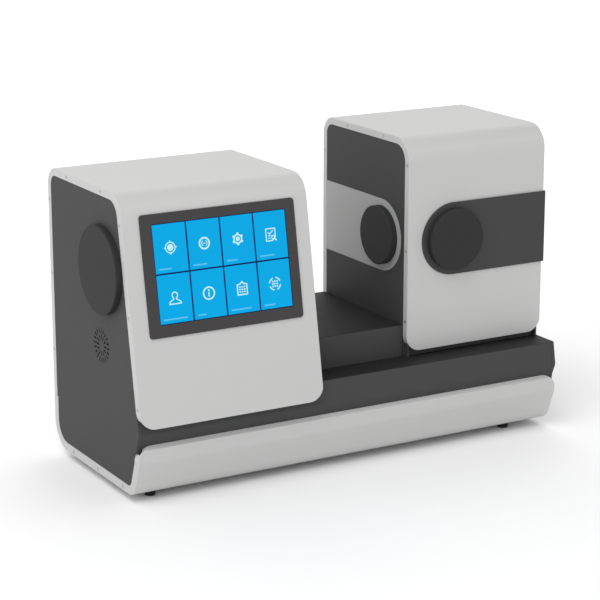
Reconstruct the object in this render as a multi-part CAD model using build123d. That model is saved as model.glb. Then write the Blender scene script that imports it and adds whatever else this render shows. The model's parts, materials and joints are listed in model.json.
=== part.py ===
"""Haze meter: a light-source cabinet and a measuring-head cabinet on one long base.

Millimetres. X runs along the base to the right, -Y is the front, Z is up.
The origin is on the table, under the middle of the whole instrument.
"""
import os
from math import atan, cos, pi, sin, sqrt

from build123d import *

os.makedirs("parts", exist_ok=True)

# Overall sizes
base_length = 580.0
back_y = 122.5
foot_height = 8.0
running_gap = 0.3

# Covers and panels
cover_wall = 2.5
cover_rim = 8.8
rim_edge_bevel = 0.8
panel_lip = 2.5
panel_recess = 0.4
top_front_radius = 29.0
top_back_radius = 22.0
cover_corner_radius = 19.0

# Left cabinet
left_width = 238.0
left_height = 355.3
left_front_foot_y = -122.7
left_front_foot_z = 93.8
front_lean = 0.1794

# Right cabinet
right_width = 200.0
right_height = 383.2
right_front_y = -79.1
right_front_foot_z = 120.5

# Tray under the base
tray_wall = 2.5
tray_rim = 11.0
tray_top_z = 71.5
tray_lip_depth = 5.5
tray_lip_drop = 4.0
tray_lip_radius = 1.5
tray_face_radius = 14.0
tray_face_height = 50.6
tray_foot_y = -99.4
tray_nose_radius = 21.0
tray_back_radius = 35.0
tray_corner_radius = 18.0

# Base body
base_wall = 3.0
base_top_z = 113.1
base_bulge_z = 84.5
base_neck_y = -109.4
base_neck_depth = 6.0
base_neck_setback = 1.0
base_edge_radius = 1.5
base_bulge_radius = 8.0
deck_hole_length = 70.0
deck_hole_width = 40.0
deck_hole_from_back = 80.0

# Sample platform and plinth
platform_top_z = 152.4
platform_front_y = -69.4
platform_wall = 3.0
platform_edge_radius = 1.5
plinth_setback = 8.0
plinth_height = 20.0

# Optical axis
axis_y = -18.0
axis_z = 255.9

# Screen
bezel_width = 197.5
bezel_height = 139.6
bezel_from_end = 120.45
bezel_centre_z = 262.1
bezel_radius = 4.0
bezel_proud = 1.4
bezel_flange = 9.0
tile_width = 169.6
tile_height = 112.0
tile_shift_x = 0.75
tile_shift_up = 1.2
tile_margin = 1.0
glass_thickness = 2.0
glass_sink = 0.5
glass_radius = 1.2
module_thickness = 8.0

# Round lamp access cap and vent on the left end panel
lamp_cap_radius = 52.0
lamp_cap_height = 8.0
lamp_cap_y = -29.5
lamp_cap_z = 261.0
cap_spigot_inset = 6.0
cap_spigot_length = 5.5
cap_wall = 2.5
cap_edge_bevel = 1.2
vent_y = -20.0
vent_z = 169.0
vent_hub_radius = 7.0
vent_slot_length = 6.2
vent_slot_width = 2.0
vent_ring_gap = 1.6
vent_inner_slots = 12
vent_outer_slots = 20

# Ports of the measuring head
stripe_below_axis = 44.9
stripe_above_axis = 44.8
stripe_thickness = 1.2
stripe_proud = 0.3
haze_cap_radius = 36.5
haze_cap_height = 8.7
band_proud = 2.0
band_return = 10.0
band_edge_radius = 1.5
compensation_from_sample = 64.5
compensation_cap_radius = 38.0
compensation_cap_height = 9.0
port_bore_radius = 12.7
port_collar_radius = 18.0
port_flange_radius = 27.0
port_flange_thickness = 3.0
port_flange_sink = 2.0

# Integrating sphere
sphere_radius = 52.0
sphere_wall = 4.0
sphere_flange = 5.0
sphere_flange_thickness = 3.0
exit_bore_radius = 11.0
trap_length = 46.0
trap_radius = 17.0
trap_wall = 2.0
trap_end_wall = 4.0
trap_flange = 4.0
trap_flange_thickness = 3.0
standard_radius = 15.0
standard_thickness = 3.0
standard_arm = 42.0
motor_radius = 12.0
motor_length = 22.0
motor_shaft_radius = 1.5
motor_end_wall = 5.0
shaft_hole_gap = 1.0
shaft_clearance = 0.05
standard_gap = 1.2
arm_thickness = 2.0
arm_width = 10.0
bracket_thickness = 4.0
bracket_width = 56.0
bracket_foot = 34.0
bracket_above_trap = 10.0
stand_width = 60.0
stand_foot = 84.0
cradle_share = 0.72
detector_bore_radius = 10.0
detector_radius = 14.0
detector_length = 20.0
detector_board_size = 44.0
detector_plug_width = 20.0
detector_plug_height = 7.0
detector_plug_drop = 18.0
detector_window = 3.0

# Light source
lens_radius = 15.0
tube_wall = 2.0
tube_length = 78.0
rail_thickness = 6.0
rail_width = 44.0
rail_drop = 34.0
rail_from_end = 28.0
rail_from_sample = 22.0
rail_foot = 18.0
post_width = 14.0
mount_thickness = 8.0
lamp_from_end = 54.0
condenser_from_lamp = 24.0
aperture_from_condenser = 20.0
tube_from_aperture = 20.0
lamp_base_radius = 7.0
bulb_radius = 9.0
holder_length = 16.0
holder_radius = 13.0
sink_length = 14.0
sink_core = 16.0
sink_width = 40.0
sink_fins = 5
bulb_shift = 6.0
bulb_neck = 3.0
mount_ring_width = 4.0
lens_edge = 3.0
condenser_bulge = 3.0
collimator_bulge = 2.5
collimator_sink = 8.0
aperture_radius = 4.0
aperture_thickness = 2.0
clamp_inset = 8.0
exit_window_radius = 14.0
exit_window_thickness = 2.0
exit_ring_width = 5.0
exit_ring_thickness = 4.0
exit_ring_step = 2.0

# Cooling fan
fan_size = 44.0
fan_depth = 15.0
fan_rim = 1.5
fan_hub_radius = 8.5
fan_spoke_width = 3.0
fan_spoke_thickness = 2.0
fan_tip_gap = 1.0
fan_rotor_setback = 1.5
fan_blades = 7
fan_blade_thickness = 1.4
fan_blade_angle = 35.0
fan_pin_radius = 1.5

# Back sockets
socket_row_z = 142.0
socket_flange = 2.0
socket_proud = 1.5
small_flange = 0.8
inlet_from_end = 32.0
inlet_width = 27.0
inlet_height = 20.0
inlet_depth = 22.0
inlet_wall = 1.5
inlet_cavity_depth = 15.0
pin_width = 2.0
pin_height = 4.0
pin_length = 13.0
pin_spacing = 7.0
pin_rise = 2.0
switch_from_inlet = 36.0
switch_width = 15.0
switch_height = 21.0
switch_depth = 16.0
switch_cavity_depth = 12.0
switch_tilt = 10.0
rocker_clearance = 0.4
rocker_pin_radius = 1.2
rocker_pin_depth = 3.0
rocker_root_depth = 5.5
rocker_root_height = 6.0
rocker_waist_inset = 0.6
rocker_edge_inset = 1.0
rocker_waist_proud = 0.5
rocker_middle_proud = 2.0
rocker_edge_proud = 3.2
data_from_switch = 30.0
data_width = 12.0
data_height = 11.0
data_depth = 16.0
data_cavity_depth = 9.0
data_tongue_width = 5.6
data_tongue_height = 3.2
data_tongue_setback = 1.0
serial_from_data = 36.0
serial_width = 17.0
serial_height = 9.0
serial_depth = 12.0
serial_plate_width = 31.0
serial_plate_height = 12.4
serial_plate_thickness = 1.0
serial_shell_top = 17.2
serial_shell_bottom = 14.4
serial_shell_height = 8.4
serial_shell_wall = 0.8
serial_shell_floor = 0.6
serial_proud = 6.0
serial_pin_pitch = 2.75
serial_pin_row = 1.4
serial_pin_size = 1.0
serial_pin_length = 5.0

# Electronics
board_thickness = 1.6
board_spacer = 8.0
spacer_radius = 3.0
spacer_inset = 5.0
psu_from_panel = 4.0
psu_length = 78.0
psu_width = 66.0
psu_height = 34.0
psu_y = 58.0
capacitor_radius = 5.0
main_board_from_end = 98.0
main_board_length = 94.0
main_board_width = 133.0
main_board_y0 = -45.0
component_margin = 10.0
processor_size = 28.0
processor_height = 3.0
header_length = 50.0
header_width = 10.0
header_height = 9.0
driver_length = 30.0
driver_width = 14.0
driver_height = 6.0

# Feet and screws
foot_radius = 7.0
foot_taper = 1.0
foot_left_inset = 31.0
foot_right_inset = 52.0
foot_front_y = -77.5
foot_back_y = 92.0
foot_screw_radius = 1.5
foot_screw_sink = 2.0

# Cutters start and end this far beyond what they cut
beyond = 5.0
far = 400.0

# Places worked out from the driving sizes
left_x = -base_length / 2
right_x = base_length / 2
left_inner_x = left_x + left_width
right_inner_x = right_x - right_width
tray_floor_z = foot_height + tray_wall
stripe_bottom_z = axis_z - stripe_below_axis
stripe_top_z = axis_z + stripe_above_axis
stripe_radius = (stripe_top_z - stripe_bottom_z) / 2
stripe_mid_z = (stripe_top_z + stripe_bottom_z) / 2
sphere_x = right_inner_x + compensation_from_sample
sphere_outer = sphere_radius + sphere_wall
bezel_centre_x = left_x + bezel_from_end
inlet_x = left_x + inlet_from_end
switch_x = inlet_x + switch_from_inlet
data_x = switch_x + data_from_switch
serial_x = data_x + serial_from_data
foot_left_x = left_x + foot_left_inset
foot_right_x = right_x - foot_right_inset

# The middle of the whole instrument, from its outermost points
box_x0 = left_x + panel_recess - lamp_cap_height
box_x1 = right_x + band_proud
box_y0 = left_front_foot_y
box_y1 = back_y + serial_proud
middle = ((box_x0 + box_x1) / 2, (box_y0 + box_y1) / 2)


def left_front_y(z):
    """Outer front plane of the left cabinet at a height."""
    return left_front_foot_y + front_lean * (z - left_front_foot_z)


def outline(corners):
    """Closed face in Y and Z. Each corner is y, z and its rounding radius."""
    face = Sketch() + make_face(Polyline(*[(y, z) for y, z, r in corners], close=True))
    for y, z, r in corners:
        if r > 0:
            corner = face.vertices().sort_by_distance((y, z, 0))[0]
            face = fillet(corner, r)
    return face


def area(y0, y1, z0, z1):
    """Plain rectangle in Y and Z, for clipping an outline."""
    return Pos((y0 + y1) / 2, (z0 + z1) / 2) * Rectangle(y1 - y0, z1 - z0)


def slab(face, x0, x1):
    """Extrude a face drawn in Y and Z from x0 to x1."""
    return extrude(Plane.YZ.offset(x0) * face, amount=x1 - x0)


def block(x0, x1, y0, y1, z0, z1):
    """Box between two corners."""
    return Pos((x0 + x1) / 2, (y0 + y1) / 2, (z0 + z1) / 2) * Box(x1 - x0, y1 - y0, z1 - z0)


def rod(start, direction, radius, length):
    """Round bar from a point along a direction."""
    return extrude(Plane(origin=start, z_dir=direction) * Circle(radius), amount=length)


def tube(start, direction, radius, bore, length):
    """Round bar with a bore through it."""
    plane = Plane(origin=start, z_dir=direction)
    return extrude(plane * (Circle(radius) - Circle(bore)), amount=length)


def write(name, shape):
    """Save one piece, or one group of like pieces, under its node name."""
    centring = Pos(-middle[0], -middle[1], 0)
    if isinstance(shape, list):
        pieces = Compound(children=[centring * piece for piece in shape])
    else:
        pieces = centring * shape
    export_step(pieces, f"parts/{name}.step")
    print(name, round(sum(s.volume for s in pieces.solids())), "mm3")


# Side outlines, in Y and Z
low_z = tray_floor_z
left_outline = outline([
    (left_front_y(low_z), low_z, 0),
    (left_front_y(left_height), left_height, top_front_radius),
    (back_y, left_height, top_back_radius),
    (back_y, low_z, 0),
])
right_outline = outline([
    (right_front_y, low_z, 0),
    (right_front_y, right_height, top_front_radius),
    (back_y, right_height, top_back_radius),
    (back_y, low_z, 0),
])


def base_front_y(z):
    """The base's front lies in the plane of the left cover's inner rim line."""
    return left_front_y(z) + cover_rim + running_gap


tray_outline = outline([
    (base_neck_y, tray_top_z, 0),
    (base_neck_y - tray_lip_depth, tray_top_z - tray_lip_drop, tray_lip_radius),
    (base_neck_y - tray_lip_depth, tray_face_height, tray_face_radius),
    (tray_foot_y, foot_height, tray_nose_radius),
    (back_y, foot_height, tray_back_radius),
    (back_y, tray_top_z, 0),
])
tray_inside = offset(tray_outline, amount=-(tray_wall + running_gap))
base_back_y = back_y - cover_wall - running_gap
neck_z = tray_top_z - base_neck_depth
base_outline = outline([
    (base_front_y(base_top_z), base_top_z, base_edge_radius),
    (base_front_y(base_bulge_z), base_bulge_z, base_bulge_radius),
    (base_neck_y, tray_top_z, 0),
    (base_neck_y + base_neck_setback, neck_z, 0),
    (base_neck_y + base_neck_setback, foot_height, 0),
    (base_back_y, foot_height, 0),
    (base_back_y, base_top_z, 0),
])
base_outline = base_outline & (tray_inside + area(-far, far, neck_z, far))

# Covers


def corner_cutter(x_edge, inward, z_edge, radius, y0, y1, upward=1):
    """Removes the square corner outside a quarter round, seen from the front."""
    xs = sorted([x_edge - inward * beyond, x_edge + inward * radius])
    zs = sorted([z_edge - upward * beyond, z_edge + upward * radius])
    square = block(xs[0], xs[1], y0, y1, zs[0], zs[1])
    centre = (x_edge + inward * radius, y0 - beyond, z_edge + upward * radius)
    return square - rod(centre, (0, 1, 0), radius, y1 - y0 + 2 * beyond)


def wrap_cover(side, x0, x1, x_sample, foot_z, flange_back_y):
    """Sheet wrapped over front, top and back, with a rim flange folded in at each end.

    The flange at the sample end, x_sample, stops at the deck so that it clears the base's back.
    """
    cover = slab(side, x0, x1)
    ends = cover.faces().sort_by(Axis.X)
    cover = chamfer(ends[0].edges() + ends[-1].edges(), rim_edge_bevel)
    cover -= slab(offset(side, amount=-cover_wall), x0 + cover_wall, x1 - cover_wall)
    cover -= slab(offset(side, amount=-cover_rim), x0 - beyond, x1 + beyond)
    cover -= block(x0 - beyond, x1 + beyond, -far, 0, 0, foot_z)
    cover -= block(x0 - beyond, x1 + beyond, 0, far, 0, tray_top_z + running_gap)
    cover -= block(x_sample - beyond, x_sample + beyond, 0, base_back_y + running_gap, 0, base_top_z)
    for edge, inward in ((x0, 1), (x1, -1)):
        cover -= corner_cutter(edge, inward, foot_z, cover_corner_radius, -far, flange_back_y)
    return cover


screen_plane = Plane(
    origin=(bezel_centre_x, left_front_y(bezel_centre_z), bezel_centre_z),
    x_dir=(1, 0, 0),
    z_dir=(0, -cos(atan(front_lean)), sin(atan(front_lean))),
)


def screen_slab(width, height, radius, z0, z1, shift=(0, 0)):
    """Rounded plate square to the leaning front, between two depths along its normal."""
    face = Pos(shift[0], shift[1]) * RectangleRounded(width, height, radius)
    return extrude(screen_plane.offset(z0) * face, amount=z1 - z0)


def back_slot(x, width, height):
    """Cutter for a socket's opening in the back wall."""
    return block(x - width / 2 - running_gap, x + width / 2 + running_gap,
                 back_y - cover_wall - beyond, back_y + beyond,
                 socket_row_z - height / 2 - running_gap, socket_row_z + height / 2 + running_gap)


tile_shift = (tile_shift_x, tile_shift_up)
bezel_body_width = bezel_width - bezel_flange
bezel_body_height = bezel_height - bezel_flange
bezel_depth = glass_sink + glass_thickness + module_thickness

left_cover = wrap_cover(left_outline, left_x, left_inner_x, left_inner_x,
                        left_front_foot_z, base_front_y(base_top_z))
left_cover -= screen_slab(
    bezel_body_width + 2 * running_gap, bezel_body_height + 2 * running_gap, bezel_radius,
    -cover_rim - beyond, beyond)
for x, width, height in (
    (inlet_x, inlet_width, inlet_height),
    (switch_x, switch_width, switch_height),
    (data_x, data_width, data_height),
    (serial_x, serial_width, serial_height),
):
    left_cover -= back_slot(x, width, height)
write("left_cover", left_cover)

compensation_bore_radius = compensation_cap_radius - cap_spigot_inset + running_gap
haze_bore_radius = haze_cap_radius - cap_spigot_inset + running_gap
lamp_bore_radius = lamp_cap_radius - cap_spigot_inset + running_gap
right_cover = wrap_cover(right_outline, right_inner_x, right_x, right_inner_x,
                         right_front_foot_z, right_front_y + cover_rim)
right_cover -= rod((sphere_x, right_front_y - beyond, axis_z), (0, 1, 0),
                   compensation_bore_radius, cover_wall + 2 * beyond)
write("right_cover", right_cover)

# End panels and inner panels
rim_inside = cover_rim + running_gap
lip_inset = cover_wall + running_gap
tray_flange_top_z = tray_top_z - tray_corner_radius + running_gap + sqrt(
    tray_corner_radius ** 2 - (tray_corner_radius - tray_wall) ** 2)
tray_opening = tray_outline + area(base_neck_y - tray_lip_depth, back_y, tray_face_height, far)


def upper_face(side, inset):
    """The part of a cabinet's side that lies above the base, drawn in by an inset."""
    return offset(side, amount=-inset) & area(-far, far, base_top_z, far)


def end_face(side):
    """Panel face that shows at an end of the instrument, from the tray to the top."""
    neck = base_outline & area(-far, back_y - rim_inside, tray_flange_top_z, base_top_z)
    neck -= area(back_y - tray_rim - running_gap, far, 0, tray_top_z + running_gap)
    foot = offset(tray_opening, amount=-(tray_rim + running_gap))
    foot = foot & area(-far, back_y - rim_inside, 0, tray_flange_top_z)
    return upper_face(side, rim_inside) + neck + foot


def panel(face, lip_face, x_outer, inward):
    """A flush plate with a wider lip behind it that catches the rim flange."""
    x_mid = x_outer + inward * (cover_wall + running_gap)
    x_in = x_mid + inward * panel_lip
    plate = slab(face, *sorted([x_outer + inward * panel_recess, x_mid]))
    lip = slab(lip_face, *sorted([x_mid, x_in]))
    return plate + lip


left_lip = upper_face(left_outline, lip_inset) + base_outline
left_end_panel = panel(end_face(left_outline), left_lip, left_x, 1)
panel_depth = cover_wall + running_gap + panel_lip
panel_cut = panel_depth + 2 * beyond
left_end_panel -= rod((left_x - beyond, lamp_cap_y, lamp_cap_z), (1, 0, 0), lamp_bore_radius, panel_cut)
slots = []
for count, start in (
    (vent_inner_slots, vent_hub_radius),
    (vent_outer_slots, vent_hub_radius + vent_slot_length + vent_ring_gap),
):
    for place in PolarLocations(start + vent_slot_length / 2, count):
        slots.append(place * Rectangle(vent_slot_length, vent_slot_width))
vent_plane = Plane(origin=(left_x - beyond, vent_y, vent_z), x_dir=(0, 1, 0), z_dir=(1, 0, 0))
left_end_panel -= extrude(vent_plane * Sketch(children=slots), amount=panel_cut)
write("left_end_panel", left_end_panel)

right_lip = upper_face(right_outline, lip_inset) + base_outline
right_end_panel = panel(end_face(right_outline), right_lip, right_x, -1)
write("right_end_panel", right_end_panel)


def inner_face(side, inset):
    """Panel face on the sample side, which stands on the base's deck."""
    return offset(side, amount=-inset) & area(-far, far, base_top_z + running_gap, far)


left_inner_panel = panel(
    inner_face(left_outline, rim_inside), inner_face(left_outline, lip_inset), left_inner_x, -1)
left_inner_panel -= rod((left_inner_x - panel_depth - beyond, axis_y, axis_z), (1, 0, 0),
                        exit_window_radius + running_gap, panel_cut)
write("left_inner_panel", left_inner_panel)

stripe_face = (
    Pos(axis_y, stripe_mid_z) * Circle(stripe_radius)
    + area(axis_y, back_y - rim_inside, stripe_bottom_z, stripe_top_z)
)
stripe_front_x = right_inner_x + panel_recess - stripe_proud
stripe_back_x = stripe_front_x + stripe_thickness
right_inner_panel = panel(
    inner_face(right_outline, rim_inside), inner_face(right_outline, lip_inset), right_inner_x, 1)
right_inner_panel -= slab(stripe_face, right_inner_x - beyond, stripe_back_x)
haze_bore = rod((right_inner_x - beyond, axis_y, axis_z), (1, 0, 0), haze_bore_radius, panel_cut)
right_inner_panel -= haze_bore
write("right_inner_panel", right_inner_panel)
port_stripe = slab(stripe_face, stripe_front_x, stripe_back_x)
write("port_stripe", port_stripe - haze_bore)

# Base, tray, platform and plinth
inner_x0 = left_x + panel_depth + running_gap
inner_x1 = right_x - panel_depth - running_gap
base_body = slab(base_outline, inner_x0, inner_x1)
base_body -= slab(offset(base_outline, amount=-base_wall), inner_x0 - beyond, inner_x1 + beyond)
deck_hole_y = base_back_y - deck_hole_from_back
for x in ((left_x + left_inner_x) / 2, (right_x + right_inner_x) / 2):
    base_body -= block(x - deck_hole_length / 2, x + deck_hole_length / 2,
                       deck_hole_y, deck_hole_y + deck_hole_width,
                       base_top_z - base_wall - beyond, base_top_z + beyond)
write("base_body", base_body)

tray = slab(tray_outline, left_x, right_x)
tray_ends = tray.faces().sort_by(Axis.X)
tray = chamfer(tray_ends[0].edges() + tray_ends[-1].edges(), rim_edge_bevel)
tray -= slab(offset(tray_outline, amount=-tray_wall), left_x + tray_wall, right_x - tray_wall)
tray -= slab(offset(tray_opening, amount=-tray_rim), left_x - beyond, right_x + beyond)
base_passage = offset(base_outline, amount=running_gap, kind=Kind.INTERSECTION)
tray -= slab(base_passage & area(-far, far, tray_floor_z + tray_wall, far),
             left_x + tray_wall, right_x - tray_wall)
for edge, inward in ((left_x, 1), (right_x, -1)):
    tray -= corner_cutter(edge, inward, tray_top_z, tray_corner_radius,
                          -far, base_neck_y + tray_rim, upward=-1)
for x in (foot_left_x, foot_right_x):
    for y in (foot_front_y, foot_back_y):
        tray -= rod((x, y, 0), (0, 0, 1), foot_screw_radius + running_gap, tray_floor_z + beyond)
write("base_tray", tray)

platform_x0 = left_inner_x + running_gap
platform_x1 = right_inner_x - running_gap
platform = block(platform_x0, platform_x1, platform_front_y, base_back_y, base_top_z, platform_top_z)
platform = fillet(platform.edges().filter_by(Axis.X).group_by(Axis.Z)[-1], platform_edge_radius)
platform -= block(platform_x0 + platform_wall, platform_x1 - platform_wall,
                  platform_front_y + platform_wall, base_back_y - platform_wall,
                  base_top_z - beyond, platform_top_z - platform_wall)
write("sample_platform", platform)

plinth_x0 = right_inner_x + panel_depth + running_gap
plinth_front_y = right_front_y + plinth_setback
plinth = block(plinth_x0, inner_x1, plinth_front_y, base_back_y, base_top_z, base_top_z + plinth_height)
plinth -= block(plinth_x0 + base_wall, inner_x1 - base_wall,
                plinth_front_y + base_wall, base_back_y - base_wall,
                base_top_z - beyond, base_top_z + plinth_height + beyond)
write("right_plinth", plinth)

# Screen
bezel = screen_slab(bezel_width, bezel_height, bezel_radius, 0, bezel_proud)
bezel += screen_slab(bezel_body_width, bezel_body_height, bezel_radius, bezel_proud - bezel_depth, 0)
opening_width = tile_width + 2 * tile_margin
opening_height = tile_height + 2 * tile_margin
opening_radius = glass_radius + running_gap
bezel -= screen_slab(opening_width, opening_height, opening_radius,
                     -bezel_depth - beyond, beyond, tile_shift)
write("screen_bezel", bezel)
glass_front = bezel_proud - glass_sink
module_front = glass_front - glass_thickness
glass_width = opening_width - 2 * running_gap
glass_height = opening_height - 2 * running_gap
glass = screen_slab(glass_width, glass_height, glass_radius, module_front, glass_front, tile_shift)
write("touch_glass", glass)
module_back = module_front - module_thickness
module = screen_slab(glass_width, glass_height, glass_radius, module_back, module_front, tile_shift)
write("screen_module", module)

# Front band round the corner of the right cabinet
band_end_x = right_x + band_proud
band_length = band_end_x - sphere_x
band_face = Circle(stripe_radius) + Pos(band_length / 2, 0) * Rectangle(band_length, 2 * stripe_radius)
band_plane = Plane(origin=(sphere_x, right_front_y, stripe_mid_z), x_dir=(1, 0, 0), z_dir=(0, -1, 0))
band = extrude(band_plane * band_face, amount=band_proud)
band += block(right_x, band_end_x, right_front_y, right_front_y + band_return,
              stripe_bottom_z, stripe_top_z)
band_tip = (band_end_x, right_front_y - band_proud, axis_z)
band_corner = band.edges().filter_by(Axis.Z).sort_by_distance(band_tip)[0]
band = fillet(band_corner, band_edge_radius)
band -= rod((sphere_x, right_front_y - beyond, axis_z), (0, 1, 0), compensation_bore_radius, 2 * beyond)
write("front_band", band)

# Pull-off caps


def pull_cap(centre, direction, radius, height):
    """Round cap with a hollow spigot; direction points out of the instrument."""
    cap = rod(centre, direction, radius, height)
    face = Plane(origin=centre, z_dir=direction)
    rim = cap.edges().filter_by(GeomType.CIRCLE).sort_by(lambda e: face.to_local_coords(e).center().Z)[-1]
    cap = chamfer(rim, cap_edge_bevel)
    inward = tuple(-d for d in direction)
    spigot_radius = radius - cap_spigot_inset
    return cap + tube(centre, inward, spigot_radius, spigot_radius - cap_wall, cap_spigot_length)


write("lamp_cap", pull_cap((left_x + panel_recess, lamp_cap_y, lamp_cap_z), (-1, 0, 0),
                           lamp_cap_radius, lamp_cap_height))
write("haze_port_cap", pull_cap((stripe_front_x, axis_y, axis_z), (-1, 0, 0),
                                haze_cap_radius, haze_cap_height))
write("compensation_port_cap", pull_cap((sphere_x, right_front_y - band_proud, axis_z), (0, -1, 0),
                                        compensation_cap_radius, compensation_cap_height))

# Integrating sphere, split by an upright plane that passes between the ports
sphere_centre = (sphere_x, axis_y, axis_z)
split_plane = Plane(origin=sphere_centre, x_dir=(0, 0, 1), z_dir=(1, -1, 0))
detector_direction = (0, 1, 0)
port_directions = {"haze": (-1, 0, 0), "compensation": (0, -1, 0), "exit": (1, 0, 0)}


def along(direction, distance):
    """Point on a port's axis at a distance from the sphere's centre."""
    return tuple(c + d * distance for c, d in zip(sphere_centre, direction))


def sphere_half(side):
    """Half shell with its joint flange; side is 1 towards the front and -1 towards the back."""
    half = Pos(*sphere_centre) * Sphere(sphere_outer)
    flange_face = split_plane * Circle(sphere_outer + sphere_flange)
    flange = extrude(flange_face, amount=side * sphere_flange_thickness)
    keep = extrude(split_plane * Rectangle(far, far), amount=side * far)
    half = (half & keep) + flange
    half -= Pos(*sphere_centre) * Sphere(sphere_radius)
    for direction in (*port_directions.values(), detector_direction):
        half -= rod(sphere_centre, direction, port_collar_radius + running_gap,
                    sphere_outer + sphere_flange)
    return half


write("sphere_front_half", sphere_half(1))
write("sphere_rear_half", sphere_half(-1))


def port_ring(direction, bore):
    """Collar through the sphere's wall with a flange outside it."""
    flange_at = sphere_outer - port_flange_sink
    collar_at = sqrt(sphere_radius ** 2 - port_collar_radius ** 2)
    ring = tube(along(direction, flange_at), direction, port_flange_radius, bore, port_flange_thickness)
    collar_length = flange_at - collar_at
    return ring + tube(along(direction, collar_at), direction, port_collar_radius, bore, collar_length)


port_face = sphere_outer - port_flange_sink + port_flange_thickness
write("haze_port_ring", port_ring(port_directions["haze"], port_bore_radius))
write("compensation_port_ring", port_ring(port_directions["compensation"], port_bore_radius))
write("exit_port_ring", port_ring(port_directions["exit"], exit_bore_radius))
detector = port_ring(detector_direction, detector_bore_radius)
detector += tube(along(detector_direction, port_face), detector_direction, detector_radius,
                 detector_bore_radius, detector_length)
write("detector_housing", detector)
detector_face = port_face + detector_length
board_y = axis_y + detector_face
detector_board = block(sphere_x - detector_board_size / 2, sphere_x + detector_board_size / 2,
                       board_y, board_y + board_thickness,
                       axis_z - detector_board_size / 2, axis_z + detector_board_size / 2)
detector_board += rod(along(detector_direction, detector_face - detector_window), detector_direction,
                      detector_bore_radius - running_gap, detector_window)
plug_back_y = board_y + board_thickness + detector_plug_height
detector_board += block(sphere_x - detector_plug_width / 2, sphere_x + detector_plug_width / 2,
                        board_y + board_thickness, plug_back_y,
                        axis_z - detector_plug_drop, axis_z - detector_plug_drop + detector_plug_height)
write("detector_board", detector_board)

# Sphere stand: a cradle on a foot, slotted for the sphere's joint flange
cradle_top_z = axis_z - cradle_share * sphere_outer
stand_floor_z = base_top_z + base_wall
stand_roof_z = axis_z - sphere_outer - sphere_flange - 2 * base_wall
stand = block(sphere_x - stand_width / 2, sphere_x + stand_width / 2, axis_y - stand_width / 2,
              axis_y + stand_width / 2, base_top_z, cradle_top_z)
stand -= block(sphere_x - stand_width / 2 + base_wall, sphere_x + stand_width / 2 - base_wall,
               axis_y - stand_width / 2 + base_wall, axis_y + stand_width / 2 - base_wall,
               stand_floor_z, stand_roof_z)
stand += block(sphere_x - stand_foot / 2, sphere_x + stand_foot / 2, axis_y - stand_foot / 2,
               axis_y + stand_foot / 2, base_top_z, stand_floor_z)
stand -= Pos(*sphere_centre) * Sphere(sphere_outer + running_gap)
stand -= extrude(split_plane * Circle(sphere_outer + sphere_flange + running_gap),
                 amount=sphere_flange_thickness + running_gap, both=True)
write("sphere_stand", stand)

# White standard on its swinging arm, between the exit port and the light trap
standard_x0 = sphere_x + port_face + standard_gap
standard_x1 = standard_x0 + standard_thickness
pivot_z = axis_z - standard_arm
write("white_standard", rod((standard_x0, axis_y, axis_z), (1, 0, 0), standard_radius, standard_thickness))
arm_x1 = standard_x1 + arm_thickness
arm_face = (
    Pos(axis_y, pivot_z) * Circle(arm_width / 2)
    + Pos(axis_y, axis_z) * Circle(arm_width / 2)
    + area(axis_y - arm_width / 2, axis_y + arm_width / 2, pivot_z, axis_z)
)
arm = slab(arm_face, standard_x1, arm_x1)
arm += rod((standard_x0, axis_y, pivot_z), (1, 0, 0), arm_width / 2, standard_thickness)
arm -= rod((standard_x0 - beyond, axis_y, pivot_z), (1, 0, 0), motor_shaft_radius, far)
write("standard_arm", arm)

# Bracket that holds the light trap and the motor
bracket_x0 = arm_x1 + standard_gap
bracket_x1 = bracket_x0 + bracket_thickness
bracket = block(bracket_x0, bracket_x1, axis_y - bracket_width / 2, axis_y + bracket_width / 2,
                base_top_z, axis_z + trap_radius + bracket_above_trap)
bracket += block(bracket_x0, bracket_x0 + bracket_foot,
                 axis_y - bracket_width / 2, axis_y + bracket_width / 2,
                 base_top_z, base_top_z + bracket_thickness)
bracket -= rod((bracket_x0 - beyond, axis_y, axis_z), (1, 0, 0), trap_radius + running_gap, far)
bracket -= rod((bracket_x0 - beyond, axis_y, pivot_z), (1, 0, 0), motor_shaft_radius + shaft_hole_gap, far)
write("head_bracket", bracket)
trap = rod((bracket_x0, axis_y, axis_z), (1, 0, 0), trap_radius, trap_length)
trap += rod((bracket_x1 + running_gap, axis_y, axis_z), (1, 0, 0),
            trap_radius + trap_flange, trap_flange_thickness)
cone_length = trap_length - trap_end_wall
trap_cone = Rot(0, 90, 0) * Cone(trap_radius - trap_wall, trap_wall, cone_length)
trap -= Pos(bracket_x0 + cone_length / 2, axis_y, axis_z) * trap_cone
write("light_trap", trap)
motor_x0 = bracket_x1
motor = rod((motor_x0, axis_y, pivot_z), (1, 0, 0), motor_radius, motor_length)
motor -= rod((motor_x0 - beyond, axis_y, pivot_z), (1, 0, 0),
             motor_shaft_radius + shaft_clearance, motor_length + beyond - motor_end_wall / 2)
write("standard_motor", motor)
shaft_end_x = motor_x0 + motor_length - motor_end_wall
shaft_length = shaft_end_x - standard_x0
write("motor_shaft", rod((standard_x0, axis_y, pivot_z), (1, 0, 0), motor_shaft_radius, shaft_length))

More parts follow.
